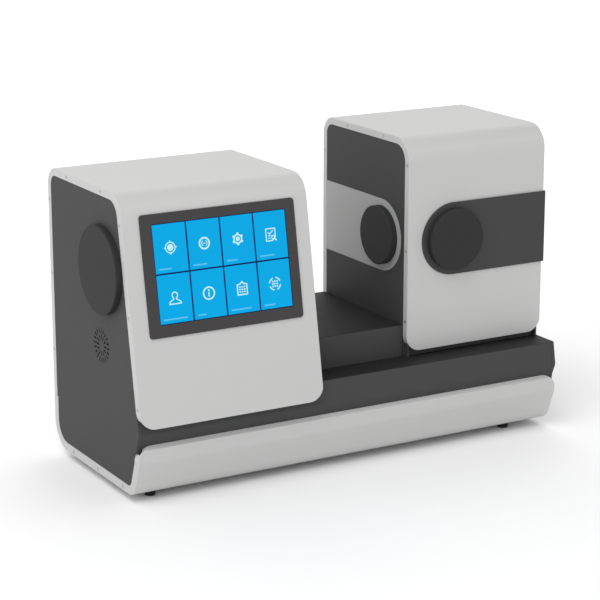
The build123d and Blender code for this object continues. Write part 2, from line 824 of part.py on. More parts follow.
# Light source on its rail
rail_x0 = left_x + rail_from_end
rail_x1 = left_inner_x - rail_from_sample
rail_top_z = axis_z - rail_drop
rail_y0 = axis_y - rail_width / 2
rail_y1 = axis_y + rail_width / 2
rail = block(rail_x0, rail_x1, rail_y0, rail_y1, rail_top_z - rail_thickness, rail_top_z)
for x in (rail_x0, rail_x1 - rail_thickness):
    rail += block(x, x + rail_thickness, rail_y0, rail_y1, base_top_z, rail_top_z - rail_thickness)
for x in (rail_x0, rail_x1 - rail_foot):
    rail += block(x, x + rail_foot, rail_y0, rail_y1, base_top_z, base_top_z + rail_thickness)
write("optical_rail", rail)


def ring_post(x, thickness, bore, outer):
    """Upright ring on a post that stands on the rail."""
    ring = rod((x, axis_y, axis_z), (1, 0, 0), outer, thickness)
    ring += block(x, x + thickness, axis_y - post_width / 2, axis_y + post_width / 2, rail_top_z, axis_z)
    return ring - rod((x - beyond, axis_y, axis_z), (1, 0, 0), bore, thickness + 2 * beyond)


def lens(x, radius, edge, bulge):
    """Lens with one flat face and one domed face towards the sample."""
    profile = Polyline((0, 0), (0, radius), (edge, radius))
    curve = radius ** 2 / (2 * bulge)
    dome = RadiusArc((edge, radius), (edge + bulge, 0), curve + bulge / 2)
    closing = Line((edge + bulge, 0), (0, 0))
    plane = Plane(origin=(x, axis_y, axis_z), x_dir=(1, 0, 0), z_dir=(0, 0, 1))
    return revolve(plane * make_face(profile + dome + closing), axis=Axis((x, axis_y, axis_z), (1, 0, 0)))


lamp_x = left_x + lamp_from_end
lamp_base_x = lamp_x - holder_length
write("lamp_holder", ring_post(lamp_base_x, holder_length, lamp_base_radius + running_gap, holder_radius))
lamp_bulb = Pos(lamp_x + bulb_shift, axis_y, axis_z) * Sphere(bulb_radius)
lamp_bulb += rod((lamp_base_x, axis_y, axis_z), (1, 0, 0), lamp_base_radius, holder_length + bulb_neck)
write("lamp", lamp_bulb)
sink_x0 = lamp_base_x - sink_length
sink = block(sink_x0, lamp_base_x, axis_y - sink_core / 2, axis_y + sink_core / 2,
             axis_z - sink_core / 2, axis_z + sink_core / 2)
fin_pitch = sink_length / sink_fins
for i in range(sink_fins):
    fin_x = sink_x0 + i * fin_pitch
    sink += block(fin_x, fin_x + fin_pitch / 2, axis_y - sink_width / 2, axis_y + sink_width / 2,
                  axis_z - sink_width / 2, axis_z + sink_width / 2)
write("lamp_heat_sink", sink)
condenser_x = lamp_x + condenser_from_lamp
mount_radius = lens_radius + mount_ring_width
write("condenser_mount", ring_post(condenser_x, mount_thickness, lens_radius + running_gap, mount_radius))
write("condenser_lens", lens(condenser_x, lens_radius, lens_edge, condenser_bulge))
aperture_x = condenser_x + aperture_from_condenser
write("aperture_plate", ring_post(aperture_x, aperture_thickness, aperture_radius, mount_radius))
tube_start_x = aperture_x + tube_from_aperture
tube_end_x = tube_start_x + tube_length
tube_outer = lens_radius + running_gap + tube_wall
tube_bore = lens_radius + running_gap
collimator = tube((tube_start_x, axis_y, axis_z), (1, 0, 0), tube_outer, tube_bore, tube_length)
write("collimator_tube", collimator)
write("collimator_lens", lens(tube_end_x - collimator_sink, lens_radius, lens_edge, collimator_bulge))
clamps = [
    ring_post(x, mount_thickness, tube_outer + running_gap, tube_outer + mount_ring_width)
    for x in (tube_start_x + clamp_inset, tube_end_x - clamp_inset - mount_thickness)
]
write("tube_clamps", clamps)
exit_ring_x = left_inner_x - panel_depth
exit_flange_x = exit_ring_x - exit_ring_thickness
exit_bore = exit_window_radius - exit_ring_step
exit_ring = tube((exit_flange_x, axis_y, axis_z), (1, 0, 0),
                 exit_window_radius + exit_ring_width, exit_bore, exit_ring_thickness)
exit_collar_length = panel_depth - panel_recess
exit_ring += tube((exit_ring_x, axis_y, axis_z), (1, 0, 0), exit_window_radius, exit_bore, exit_collar_length)
window_seat = exit_window_thickness + running_gap
exit_ring -= rod((exit_flange_x - beyond, axis_y, axis_z), (1, 0, 0),
                 exit_window_radius, beyond + window_seat)
write("light_exit_ring", exit_ring)
exit_window = rod((exit_flange_x + running_gap, axis_y, axis_z), (1, 0, 0),
                  exit_window_radius - running_gap, exit_window_thickness)
write("exit_window", exit_window)

# Cooling fan behind the vent
fan_x0 = inner_x0
fan_bore = fan_size / 2 - fan_rim
fan_frame = block(fan_x0, fan_x0 + fan_depth, vent_y - fan_size / 2, vent_y + fan_size / 2,
                  vent_z - fan_size / 2, vent_z + fan_size / 2)
fan_frame -= rod((fan_x0 - beyond, vent_y, vent_z), (1, 0, 0), fan_bore, fan_depth + 2 * beyond)
fan_back_x = fan_x0 + fan_depth - fan_spoke_thickness
fan_frame += rod((fan_back_x, vent_y, vent_z), (1, 0, 0), fan_hub_radius, fan_spoke_thickness)
spoke_reach = fan_bore + fan_rim / 2
for half_y, half_z in ((spoke_reach, fan_spoke_width / 2), (fan_spoke_width / 2, spoke_reach)):
    fan_frame += block(fan_back_x, fan_back_x + fan_spoke_thickness,
                       vent_y - half_y, vent_y + half_y, vent_z - half_z, vent_z + half_z)
fan_pin_x = fan_x0 + 2 * fan_spoke_thickness
fan_frame += rod((fan_pin_x, vent_y, vent_z), (1, 0, 0), fan_pin_radius, fan_back_x - fan_pin_x)
write("fan_frame", fan_frame)
rotor_x0 = fan_x0 + fan_rotor_setback
rotor_depth = fan_back_x - fan_tip_gap - rotor_x0
rotor = rod((rotor_x0, vent_y, vent_z), (1, 0, 0), fan_hub_radius, rotor_depth)
blade_root = fan_hub_radius - fan_blade_thickness
blade_length = fan_bore - fan_tip_gap - fan_blade_thickness / 2 - blade_root
blade_start = (rotor_x0 + rotor_depth / 2, vent_y, vent_z + blade_root)
blade_plane = Plane(origin=blade_start, x_dir=(0, 1, 0), z_dir=(0, 0, 1))
blade_width = rotor_depth - fan_blade_thickness * cos(fan_blade_angle * pi / 180)
blade_face = Rot(0, 0, fan_blade_angle) * Rectangle(fan_blade_thickness, blade_width)
blade = extrude(blade_plane * blade_face, amount=blade_length)
turn_axis = Axis((0, vent_y, vent_z), (1, 0, 0))
for i in range(fan_blades):
    rotor += blade.rotate(turn_axis, i * 360 / fan_blades)
rotor -= rod((rotor_x0 + fan_rotor_setback, vent_y, vent_z), (1, 0, 0),
             fan_pin_radius + shaft_clearance, rotor_depth)
write("fan_rotor", rotor)

# Back sockets


def socket_block(x, width, height, y0, y1):
    """Block in the row of sockets, about a socket's middle."""
    return block(x - width / 2, x + width / 2, y0, y1, socket_row_z - height / 2, socket_row_z + height / 2)


def socket_body(x, width, height, depth, flange):
    """Body through the back wall with a thin flange on the outside."""
    body = socket_block(x, width, height, back_y - depth, back_y)
    return body + socket_block(x, width + 2 * flange, height + 2 * flange, back_y, back_y + socket_proud)


inlet = socket_body(inlet_x, inlet_width, inlet_height, inlet_depth, socket_flange)
inlet -= socket_block(inlet_x, inlet_width - 2 * inlet_wall, inlet_height - 2 * inlet_wall,
                      back_y - inlet_cavity_depth, back_y + beyond)
write("power_inlet", inlet)
pins = []
pin_y0 = back_y - inlet_cavity_depth
for dx, dz in ((-pin_spacing, -pin_rise), (0, pin_rise), (pin_spacing, -pin_rise)):
    pin = socket_block(inlet_x + dx, pin_width, pin_height, pin_y0, pin_y0 + pin_length)
    pins.append(Pos(0, 0, dz) * pin)
write("inlet_pins", pins)

switch = socket_body(switch_x, switch_width, switch_height, switch_depth, socket_flange)
switch_cavity_width = switch_width - 2 * inlet_wall
switch_cavity_height = switch_height - 2 * inlet_wall
switch -= socket_block(switch_x, switch_cavity_width, switch_cavity_height,
                       back_y - switch_cavity_depth, back_y + beyond)
rocker_y = back_y - rocker_pin_depth
switch += rod((switch_x - switch_width / 2, rocker_y, socket_row_z), (1, 0, 0),
              rocker_pin_radius, switch_width)
write("switch_housing", switch)
rocker_width = switch_cavity_width - 2 * rocker_clearance
rocker_half = switch_cavity_height / 2 - rocker_clearance
rocker_corners = [
    (back_y - rocker_root_depth, rocker_root_height / 2),
    (back_y + rocker_waist_proud, rocker_half - rocker_waist_inset),
    (back_y + rocker_edge_proud, rocker_half - rocker_edge_inset),
]
rocker_outline = [(y, socket_row_z - rise) for y, rise in rocker_corners]
rocker_outline.append((back_y + rocker_middle_proud, socket_row_z))
rocker_outline += [(y, socket_row_z + rise) for y, rise in reversed(rocker_corners)]
rocker_face = make_face(Polyline(*rocker_outline, close=True))
rocker = slab(rocker_face, switch_x - rocker_width / 2, switch_x + rocker_width / 2)
rocker -= rod((switch_x - switch_width, rocker_y, socket_row_z), (1, 0, 0),
              rocker_pin_radius + shaft_clearance, 2 * switch_width)
rocker = rocker.rotate(Axis((switch_x, rocker_y, socket_row_z), (1, 0, 0)), -switch_tilt)
write("power_rocker", rocker)

data = socket_body(data_x, data_width, data_height, data_depth, small_flange)
data -= socket_block(data_x, data_width - 2 * inlet_wall, data_height - 2 * inlet_wall,
                     back_y - data_cavity_depth, back_y + beyond)
data += socket_block(data_x, data_tongue_width, data_tongue_height,
                     back_y - data_cavity_depth, back_y - data_tongue_setback)
write("data_socket", data)

serial = socket_body(serial_x, serial_width, serial_height, serial_depth, small_flange)
serial += socket_block(serial_x, serial_plate_width, serial_plate_height,
                       back_y, back_y + serial_plate_thickness)
shell_face = make_face(Polyline(
    (-serial_shell_top / 2, serial_shell_height / 2),
    (serial_shell_top / 2, serial_shell_height / 2),
    (serial_shell_bottom / 2, -serial_shell_height / 2),
    (-serial_shell_bottom / 2, -serial_shell_height / 2),
    close=True))
shell_plane = Plane(origin=(serial_x, back_y, socket_row_z), x_dir=(-1, 0, 0), z_dir=(0, 1, 0))
serial += extrude(shell_plane * shell_face, amount=serial_proud)
serial -= extrude(shell_plane.offset(serial_shell_floor) * offset(shell_face, amount=-serial_shell_wall),
                  amount=serial_proud)
for row, count in ((serial_pin_row, 5), (-serial_pin_row, 4)):
    for i in range(count):
        pin_x = serial_x + (i - (count - 1) / 2) * serial_pin_pitch
        pin = socket_block(pin_x, serial_pin_size, serial_pin_size, back_y, back_y + serial_pin_length)
        serial += Pos(0, 0, row) * pin
write("serial_socket", serial)

# Electronics


def component(x0, y0, floor_z, length, width, height):
    """Box that stands on a board, from its left front corner."""
    return block(x0, x0 + length, y0, y0 + width, floor_z, floor_z + height)


psu_x0 = inner_x0 + psu_from_panel
psu_y0 = psu_y - psu_width / 2
psu_top_z = base_top_z + board_thickness
psu = component(psu_x0, psu_y0, base_top_z, psu_length, psu_width, board_thickness)
psu += component(psu_x0 + psu_length * 0.08, psu_y0 + psu_width * 0.1, psu_top_z,
                 psu_length * 0.44, psu_width * 0.8, psu_height * 0.7)
psu += component(psu_x0 + psu_length * 0.6, psu_y0 + psu_width * 0.18, psu_top_z,
                 psu_length * 0.34, psu_width * 0.38, psu_height * 0.6)
for share in (0.7, 0.88):
    psu += rod((psu_x0 + psu_length * 0.75, psu_y0 + psu_width * share, base_top_z), (0, 0, 1),
               capacitor_radius, psu_height * 0.65)
write("power_supply", psu)

board_x0 = left_x + main_board_from_end
board_x1 = board_x0 + main_board_length
board_y1 = main_board_y0 + main_board_width
board_z = base_top_z + board_spacer
board_top_z = board_z + board_thickness
board = component(board_x0, main_board_y0, board_z, main_board_length, main_board_width, board_thickness)
board += component((board_x0 + board_x1 - processor_size) / 2,
                   (main_board_y0 + board_y1 - processor_size) / 2,
                   board_top_z, processor_size, processor_size, processor_height)
board += component(board_x0 + component_margin, board_y1 - component_margin - header_width,
                   board_top_z, header_length, header_width, header_height)
board += component(board_x1 - component_margin - driver_width, main_board_y0 + component_margin,
                   board_top_z, driver_width, driver_length, driver_height)
write("main_board", board)
spacers = [
    rod((x, y, base_top_z), (0, 0, 1), spacer_radius, board_spacer)
    for x in (board_x0 + spacer_inset, board_x1 - spacer_inset)
    for y in (main_board_y0 + spacer_inset, board_y1 - spacer_inset)
]
write("board_spacers", spacers)

# Feet and screws
feet = []
foot_screws = []
foot_screw_length = foot_height + tray_wall - foot_screw_sink
for x in (foot_left_x, foot_right_x):
    for y in (foot_front_y, foot_back_y):
        foot = Pos(x, y, foot_height / 2) * Cone(foot_radius - foot_taper, foot_radius, foot_height)
        hole = rod((x, y, -beyond), (0, 0, 1), foot_screw_radius + running_gap, foot_height + 2 * beyond)
        feet.append(foot - hole)
        foot_screws.append(rod((x, y, foot_screw_sink), (0, 0, 1), foot_screw_radius, foot_screw_length))
write("rubber_feet", feet)
write("foot_screws", foot_screws)
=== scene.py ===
# %% [markdown]
# # A haze meter, dressed for its portrait
# A haze meter shines a beam across an open gap and measures how much of it a clear sheet
# scatters. The light source sits behind the screen on the left, the integrating sphere sits
# behind the round caps on the right, and one long base holds both in line. The solid model is
# loaded first and never moved. This script adds its finishes, its lit screen, its small screws,
# a studio and a camera.

import json
from math import cos, pi, radians, sin

import bmesh
import bpy
from mathutils import Matrix, Vector


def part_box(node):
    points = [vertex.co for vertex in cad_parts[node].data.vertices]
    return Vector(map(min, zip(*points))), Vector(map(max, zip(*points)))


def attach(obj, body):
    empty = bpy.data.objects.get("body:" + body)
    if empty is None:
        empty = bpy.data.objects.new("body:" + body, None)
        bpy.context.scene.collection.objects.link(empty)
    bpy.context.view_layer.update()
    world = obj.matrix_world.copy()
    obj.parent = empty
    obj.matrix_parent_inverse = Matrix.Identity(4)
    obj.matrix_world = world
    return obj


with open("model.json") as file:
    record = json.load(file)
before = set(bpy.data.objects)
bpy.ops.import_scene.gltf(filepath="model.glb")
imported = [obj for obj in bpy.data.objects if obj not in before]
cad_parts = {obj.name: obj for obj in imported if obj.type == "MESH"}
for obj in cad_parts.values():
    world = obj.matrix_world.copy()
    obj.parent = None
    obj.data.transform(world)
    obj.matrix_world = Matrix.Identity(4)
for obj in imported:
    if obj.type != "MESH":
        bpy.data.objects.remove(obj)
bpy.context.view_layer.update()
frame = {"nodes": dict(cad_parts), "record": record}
nodes = frame["nodes"]
MM = 0.001

# %% [markdown]
# ## Shader maths as plain Python
# A finish is mostly arithmetic on textures. Wiring each Math node by hand hides the formula, so
# a tiny class wraps a socket and turns +, -, * and / into nodes. The formula can then be read.


# %% A socket that does arithmetic
class Wire:
    """A shader value. An operator on it adds one Math node."""

    def __init__(self, tree, socket):
        self.tree = tree
        self.socket = socket

    def maths(self, operation, first, second=None):
        node = self.tree.nodes.new("ShaderNodeMath")
        node.operation = operation
        for place, value in enumerate((first, second)):
            if isinstance(value, Wire):
                self.tree.links.new(value.socket, node.inputs[place])
            elif value is not None:
                node.inputs[place].default_value = value
        return Wire(self.tree, node.outputs[0])

    def __add__(self, other):
        return self.maths("ADD", self, other)

    def __radd__(self, other):
        return self.maths("ADD", other, self)

    def __sub__(self, other):
        return self.maths("SUBTRACT", self, other)

    def __rsub__(self, other):
        return self.maths("SUBTRACT", other, self)

    def __mul__(self, other):
        return self.maths("MULTIPLY", self, other)

    def __rmul__(self, other):
        return self.maths("MULTIPLY", other, self)

    def __truediv__(self, other):
        return self.maths("DIVIDE", self, other)

    def __rtruediv__(self, other):
        return self.maths("DIVIDE", other, self)

    def clamp(self):
        return self.maths("MAXIMUM", self.maths("MINIMUM", self, 1.0), 0.0)


# %% [markdown]
# Every other shader node comes from one method: its type, its settings, then its inputs. The
# settings are made before the inputs, because some of them change which inputs there are.


# %% A finish and its node maker
class Finish:
    """A new material with one Principled shader, ready to be wired."""

    def __init__(self, name):
        self.material = bpy.data.materials.new(name)
        self.material.use_nodes = True
        self.tree = self.material.node_tree
        self.shader = self.tree.nodes["Principled BSDF"]
        self.place = self.node("ShaderNodeTexCoord", output="Object")

    def node(self, kind, settings=None, output=0, **inputs):
        node = self.tree.nodes.new(kind)
        for name, value in (settings or {}).items():
            setattr(node, name, value)
        for name, value in inputs.items():
            self.feed(node.inputs[name.replace("_", " ")], value)
        return Wire(self.tree, node.outputs[output])

    def feed(self, socket, value):
        if isinstance(value, Wire):
            self.tree.links.new(value.socket, socket)
        else:
            socket.default_value = value

    def set(self, **inputs):
        for name, value in inputs.items():
            self.feed(self.shader.inputs[name.replace("_", " ")], value)
        return self

    def noise(self, size, detail=2.0, roughness=0.5):
        """Soft noise whose lumps are about size metres across."""
        return self.node("ShaderNodeTexNoise", Vector=self.place, Scale=1.0 / size,
                         Detail=detail, Roughness=roughness)

    def tint(self, amount, dark, light):
        """Colour between dark and light, by amount."""
        node = self.tree.nodes.new("ShaderNodeMix")
        node.data_type = "RGBA"
        self.feed(node.inputs[0], amount)
        node.inputs[6].default_value = (*dark, 1.0)
        node.inputs[7].default_value = (*light, 1.0)
        return Wire(self.tree, node.outputs[2])

    def bump(self, height, strength, distance):
        return self.node("ShaderNodeBump", Height=height, Strength=strength, Distance=distance)


def shade(colour, factor):
    """The same colour, lighter or darker."""
    return tuple(channel * factor for channel in colour)


# %% [markdown]
# ## Painted sheet
# The pale covers and the dark panels are powder coated. The powder melts into a skin with a
# faint orange peel about a millimetre wide, and its gloss drifts a little over a large panel.
# Fine noise drives the bump, and two noises together drive the roughness. Flat tops look darker than
# fronts, as they mirror a dim ceiling, so the covers and panels get painted shade in their colour
# where a face looks straight up. The stripe has no such painted shade, so a coarse noise drives its
# tone instead.


# %% Powder coat
tone_drift = 0.03


def powder_coat(name, colour, gloss, peel_size, peel_depth, top_shade=1.0):
    """Painted sheet; a last value below 1 paints shade into the colour of faces that look straight
    up.
    """
    finish = Finish(name)
    peel = finish.noise(peel_size, detail=3.0, roughness=0.55)
    dust = finish.noise(0.012, detail=4.0, roughness=0.7)
    rough = (1.0 - gloss) + (peel - 0.5) * 0.10 + (dust - 0.5) * 0.08
    # Painted shade: the more straight up a face's normal points, the darker its colour is made.
    if top_shade < 1.0:
        normal = finish.node("ShaderNodeNewGeometry", output="Normal")
        height = finish.node("ShaderNodeSeparateXYZ", output="Z", Vector=normal)
        upward_shade = (height * 2.0 - 1.0).clamp()
        paint = finish.tint(upward_shade, colour, shade(colour, top_shade))
    else:
        cloud = finish.noise(0.09)
        tone = (cloud * 0.7 + dust * 0.3).clamp()
        paint = finish.tint(tone, shade(colour, 1.0 - tone_drift), shade(colour, 1.0 + tone_drift))
    finish.set(
        Base_Color=paint,
        Roughness=rough.clamp(),
        Normal=finish.bump(peel, 0.35, peel_depth),
    )
    finish.shader.inputs["Specular IOR Level"].default_value = 0.22
    print("finish", name)
    return finish.material


# The pale and dark coats get painted shade on faces that look straight up; the stripe gets none.
pale_coat = powder_coat("pale_coat", (0.56, 0.558, 0.555), 0.50, 0.0011, 0.00006, top_shade=0.88)
dark_coat = powder_coat("dark_coat", (0.057, 0.057, 0.058), 0.36, 0.0006, 0.00010, top_shade=0.30)
stripe_coat = powder_coat("stripe_coat", (0.42, 0.42, 0.418), 0.55, 0.0010, 0.00005)

# %% [markdown]
# ## Moulded plastic
# The caps, the band and the screen frame are moulded. The tool was spark eroded, which leaves a
# fine dry grain, and handling polishes the high spots a little. Voronoi cells give that grain
# its tight, pitted look, which plain noise can't.


# %% Moulded plastic
def moulded(name, colour, rough, grain_size=0.0007, grain_depth=0.00004, handled=0.05):
    finish = Finish(name)
    grain = finish.node("ShaderNodeTexVoronoi", Vector=finish.place, Scale=1.0 / grain_size)
    hands = finish.noise(0.035, detail=3.0, roughness=0.6)
    finish.set(
        Base_Color=finish.tint(hands.clamp(), shade(colour, 0.94), shade(colour, 1.08)),
        Roughness=(rough + (hands - 0.5) * handled + (grain - 0.5) * 0.06).clamp(),
        Normal=finish.bump(grain, 0.30, grain_depth),
    )
    finish.shader.inputs["Specular IOR Level"].default_value = 0.22
    print("finish", name)
    return finish.material


band_plastic = moulded("band_plastic", (0.052, 0.052, 0.053), 0.55)
cap_plastic = moulded("cap_plastic", (0.026, 0.026, 0.027), 0.62)
bezel_plastic = moulded("bezel_plastic", (0.050, 0.047, 0.048), 0.50)
black_plastic = moulded("black_plastic", (0.022, 0.022, 0.023), 0.55)
rubber = moulded("rubber", (0.018, 0.018, 0.018), 0.82, 0.0012, 0.00010)
board_resist = moulded("board_resist", (0.01, 0.13, 0.05), 0.38, 0.0020, 0.00003)


# %% [markdown]
# ## Bare metal
# Screws, pins and sockets are plated. Turning and plating leave a fine brushed grain, so a
# noise that is stretched along one axis streaks the roughness.


# %% Bare metal
def metal(name, colour, rough, streak=0.00025):
    finish = Finish(name)
    stretched = finish.node("ShaderNodeMapping", Vector=finish.place, Scale=(1.0, 1.0, 0.05))
    streaks = finish.node("ShaderNodeTexNoise", Vector=stretched, Scale=1.0 / streak, Detail=2.0)
    stain = finish.noise(0.006, detail=3.0)
    finish.set(
        Base_Color=finish.tint(stain.clamp(), shade(colour, 0.92), shade(colour, 1.04)),
        Roughness=(rough + (streaks - 0.5) * 0.18).clamp(),
        Normal=finish.bump(streaks, 0.12, 0.00002),
    )
    finish.shader.inputs["Metallic"].default_value = 1.0
    print("finish", name)
    return finish.material


plated = metal("plated", (0.72, 0.71, 0.69), 0.30)
sphere_metal = metal("sphere_metal", (0.60, 0.60, 0.60), 0.42, 0.0006)
anodised = metal("anodised", (0.09, 0.09, 0.095), 0.45, 0.0008)
screw_steel = metal("screw_steel", (0.42, 0.41, 0.40), 0.38)

# %% [markdown]
# ## Glass and the white standard
# The lenses are clear. The touch glass in front of the display glows a deep navy where no tile
# is lit, with smears that show mostly in its gloss. The standard is a chalky, even white.


# %% Glass and ceramic
def clear_glass(name, colour, transmission):
    finish = Finish(name)
    smear = finish.noise(0.01, detail=4.0)
    finish.set(Base_Color=finish.tint(smear.clamp(), shade(colour, 0.97), colour),
               Roughness=(0.04 + smear * 0.05).clamp())
    finish.shader.inputs["Transmission Weight"].default_value = transmission
    finish.shader.inputs["IOR"].default_value = 1.5
    print("finish", name)
    return finish.material


optical_glass = clear_glass("optical_glass", (0.95, 0.98, 0.98), 1.0)
lamp_glass = clear_glass("lamp_glass", (0.98, 0.95, 0.88), 0.9)
white_ceramic = moulded("white_ceramic", (0.88, 0.88, 0.86), 0.70, 0.0010, 0.00002)


def lit_glass(name, glow, strength, gloss=0.16):
    """A screen colour behind touch glass: uneven backlight, smears in the gloss."""
    finish = Finish(name)
    smear = finish.noise(0.03, detail=5.0, roughness=0.6)
    backlight = finish.noise(0.06, detail=1.0)
    colour = finish.tint(backlight.clamp(), shade(glow, 0.95), shade(glow, 1.03))
    finish.set(Base_Color=finish.tint(smear.clamp(), shade(glow, 0.04), shade(glow, 0.06)),
               Emission_Color=colour,
               Roughness=(gloss + (smear - 0.5) * 0.12).clamp())
    finish.shader.inputs["Emission Strength"].default_value = strength
    finish.shader.inputs["Specular IOR Level"].default_value = 0.08
    print("finish", name)
    return finish.material


screen_navy = lit_glass("screen_navy", (0.0005, 0.020, 0.12), 1.0)
tile_azure = lit_glass("tile_azure", (0.0, 0.40, 0.80), 0.94)
icon_white = lit_glass("icon_white", (0.52, 0.84, 0.92), 1.0)
label_blue = lit_glass("label_blue", (0.12, 0.52, 0.88), 1.0)

# %% [markdown]
# ## Finishes onto the solids
# The record names a material slot for each piece, so one table gives every solid its finish.
# Only the material slot is assigned. The meshes stay as they came.

# %% Assign the finishes
finish_of_slot = {
    "pale_shell": pale_coat, "dark_panel": dark_coat, "stripe_paint": stripe_coat,
    "band_plastic": band_plastic, "cap_plastic": cap_plastic, "bezel_plastic": bezel_plastic,
    "screen_glass": screen_navy, "black_plastic": black_plastic, "bare_metal": plated,
    "anodised": anodised, "sphere_metal": sphere_metal, "white_ceramic": white_ceramic,
    "optical_glass": optical_glass, "lamp_glass": lamp_glass, "board": board_resist,
    "rubber": rubber,
}
for part in frame["record"]["subparts"]:
    slots = nodes[part["node"]].data.materials
    slots.clear()
    slots.append(finish_of_slot[part["material_slot"]])

# %% [markdown]
# ## The leaning screen
# Everything on the screen is drawn flat in millimetres, across and up from the middle of the
# glass, and then laid on the glass by one matrix. The glass leans back with the cover, and its
# box and thickness are enough to find its front face.

# %% A plane on the glass
glass_thickness = 2.0 * MM
screen_lean = 0.1794
lean = Vector((0.0, screen_lean, 1.0)).normalized()
outward = Vector((0.0, -1.0, screen_lean)).normalized()
glass_low, glass_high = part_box("touch_glass")
glass_middle = (glass_low + glass_high) / 2 + outward * (glass_thickness / 2)
screen_matrix = Matrix((
    (1.0, lean.x, outward.x, glass_middle.x),
    (0.0, lean.y, outward.y, glass_middle.y),
    (0.0, lean.z, outward.z, glass_middle.z),
    (0.0, 0.0, 0.0, 1.0),
))
print("screen middle", tuple(round(v, 4) for v in glass_middle))


def keep(name, mesh_maker, finish, body="root"):
    """Turns a filled bmesh into a finished piece that rides on a body."""
    mesh = bpy.data.meshes.new(name)
    bmesh.ops.remove_doubles(mesh_maker, verts=mesh_maker.verts, dist=1e-7)
    bmesh.ops.recalc_face_normals(mesh_maker, faces=mesh_maker.faces)
    mesh_maker.to_mesh(mesh)
    mesh_maker.free()
    piece = bpy.data.objects.new(name, mesh)
    bpy.context.scene.collection.objects.link(piece)
    mesh.materials.append(finish)
    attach(piece, body)
    print(name, len(mesh.polygons), "faces")
    return piece


# %% [markdown]
# A tile or an icon is a thin plate with its outline extruded forwards, so it has real edges and
# exports as geometry. One helper raises any closed outline into such a plate.


# %% Raise an outline into a plate
def plate(bm, outline, low, high, matrix=screen_matrix):
    """Closed outline in millimetres, raised from low to high above the glass."""
    rings = []
    for height in (low, high):
        rings.append([bm.verts.new(matrix @ Vector((x * MM, y * MM, height * MM)))
                      for x, y in outline])
    bm.faces.new(rings[1])
    bm.faces.new(list(reversed(rings[0])))
    for i in range(len(outline)):
        j = (i + 1) % len(outline)
        bm.faces.new((rings[0][i], rings[0][j], rings[1][j], rings[1][i]))


def arc(x, y, radius, start=0.0, end=360.0, steps=24):
    """Points along an arc, in degrees anticlockwise."""
    return [
        (x + radius * cos(radians(start + (end - start) * i / steps)),
         y + radius * sin(radians(start + (end - start) * i / steps)))
        for i in range(steps + 1)
    ]


def rounded_box(x, y, width, height, radius, steps=5):
    """Outline of a rectangle with round corners, about its middle."""
    points = []
    for turn, (sx, sy) in enumerate(((1, 1), (-1, 1), (-1, -1), (1, -1))):
        points += arc(x + sx * (width / 2 - radius), y + sy * (height / 2 - radius),
                      radius, turn * 90, turn * 90 + 90, steps)
    return points


# %% [markdown]
# ## Tiles
# Two rows of four azure tiles fill the display, with navy joints between them. The tiles repeat
# on a grid, so Geometry Nodes lay one plate on a grid of points. The helper here sets the named
# inputs of a tree, runs it once and keeps the result as a plain mesh.


# %% A small helper for Geometry Nodes
def grow(name, build, inputs, base_mesh, finish, body="root"):
    """Runs a Geometry Nodes tree once and keeps its result as a plain mesh."""
    tree = bpy.data.node_groups.new(name, "GeometryNodeTree")
    tree.interface.new_socket("Geometry", in_out="INPUT", socket_type="NodeSocketGeometry")
    identifiers = {}
    for label, value in inputs.items():
        kind = "NodeSocketInt" if isinstance(value, int) else "NodeSocketFloat"
        socket = tree.interface.new_socket(label, in_out="INPUT", socket_type=kind)
        socket.default_value = value
        identifiers[label] = socket.identifier
    tree.interface.new_socket("Geometry", in_out="OUTPUT", socket_type="NodeSocketGeometry")
    entry = tree.nodes.new("NodeGroupInput")
    leave = tree.nodes.new("NodeGroupOutput")
    last = build(tree, entry)
    real = tree.nodes.new("GeometryNodeRealizeInstances")
    paint = tree.nodes.new("GeometryNodeSetMaterial")
    paint.inputs["Material"].default_value = finish
    tree.links.new(last, real.inputs["Geometry"])
    tree.links.new(real.outputs["Geometry"], paint.inputs["Geometry"])
    tree.links.new(paint.outputs["Geometry"], leave.inputs["Geometry"])
    host = bpy.data.objects.new(name + "_host", base_mesh)
    bpy.context.scene.collection.objects.link(host)
    modifier = host.modifiers.new(name, "NODES")
    modifier.node_group = tree
    for label, value in inputs.items():
        modifier[identifiers[label]] = value
    depsgraph = bpy.context.evaluated_depsgraph_get()
    mesh = bpy.data.meshes.new_from_object(host.evaluated_get(depsgraph), depsgraph=depsgraph)
    host.modifiers.remove(modifier)
    bpy.data.objects.remove(host)
    piece = bpy.data.objects.new(name, mesh)
    bpy.context.scene.collection.objects.link(piece)
    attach(piece, body)
    print(name, len(mesh.polygons), "faces from nodes")
    return piece


def add(tree, kind, settings=None, **inputs):
    """One Geometry Nodes node, its settings first and then its inputs."""
    node = tree.nodes.new(kind)
    for key, value in (settings or {}).items():
        setattr(node, key, value)
    for key, value in inputs.items():
        socket = node.inputs[key.replace("_", " ")]
        if isinstance(value, bpy.types.NodeSocket):
            tree.links.new(value, socket)
        else:
            socket.default_value = value
    return node


# %% [markdown]
# The tile size follows from the lit area, the joint and the counts. The points lie just above
# the glass, and every tile is turned to lean with it.

# %% Lay the tiles
tile_area = (169.6, 112.0)
tile_joint = 1.9
tile_columns = 4
tile_rows = 2
tile_size = tuple(
    (whole - tile_joint * (count - 1)) / count
    for whole, count in zip(tile_area, (tile_columns, tile_rows)))
tile_pitch = tuple(size + tile_joint for size in tile_size)
tile_rise = (-0.05, 0.12)
tile_middle = 0.035


def tile_centre(column, row):
    """Middle of a tile in millimetres; row 0 is the upper one."""
    return ((column - (tile_columns - 1) / 2) * tile_pitch[0],
            ((tile_rows - 1) / 2 - row) * tile_pitch[1])


tile_points = bpy.data.meshes.new("tile_points")
tile_points.from_pydata(
    [screen_matrix @ Vector((x * MM, y * MM, tile_middle * MM))
     for x, y in (tile_centre(c, r) for r in range(tile_rows) for c in range(tile_columns))], [], [])


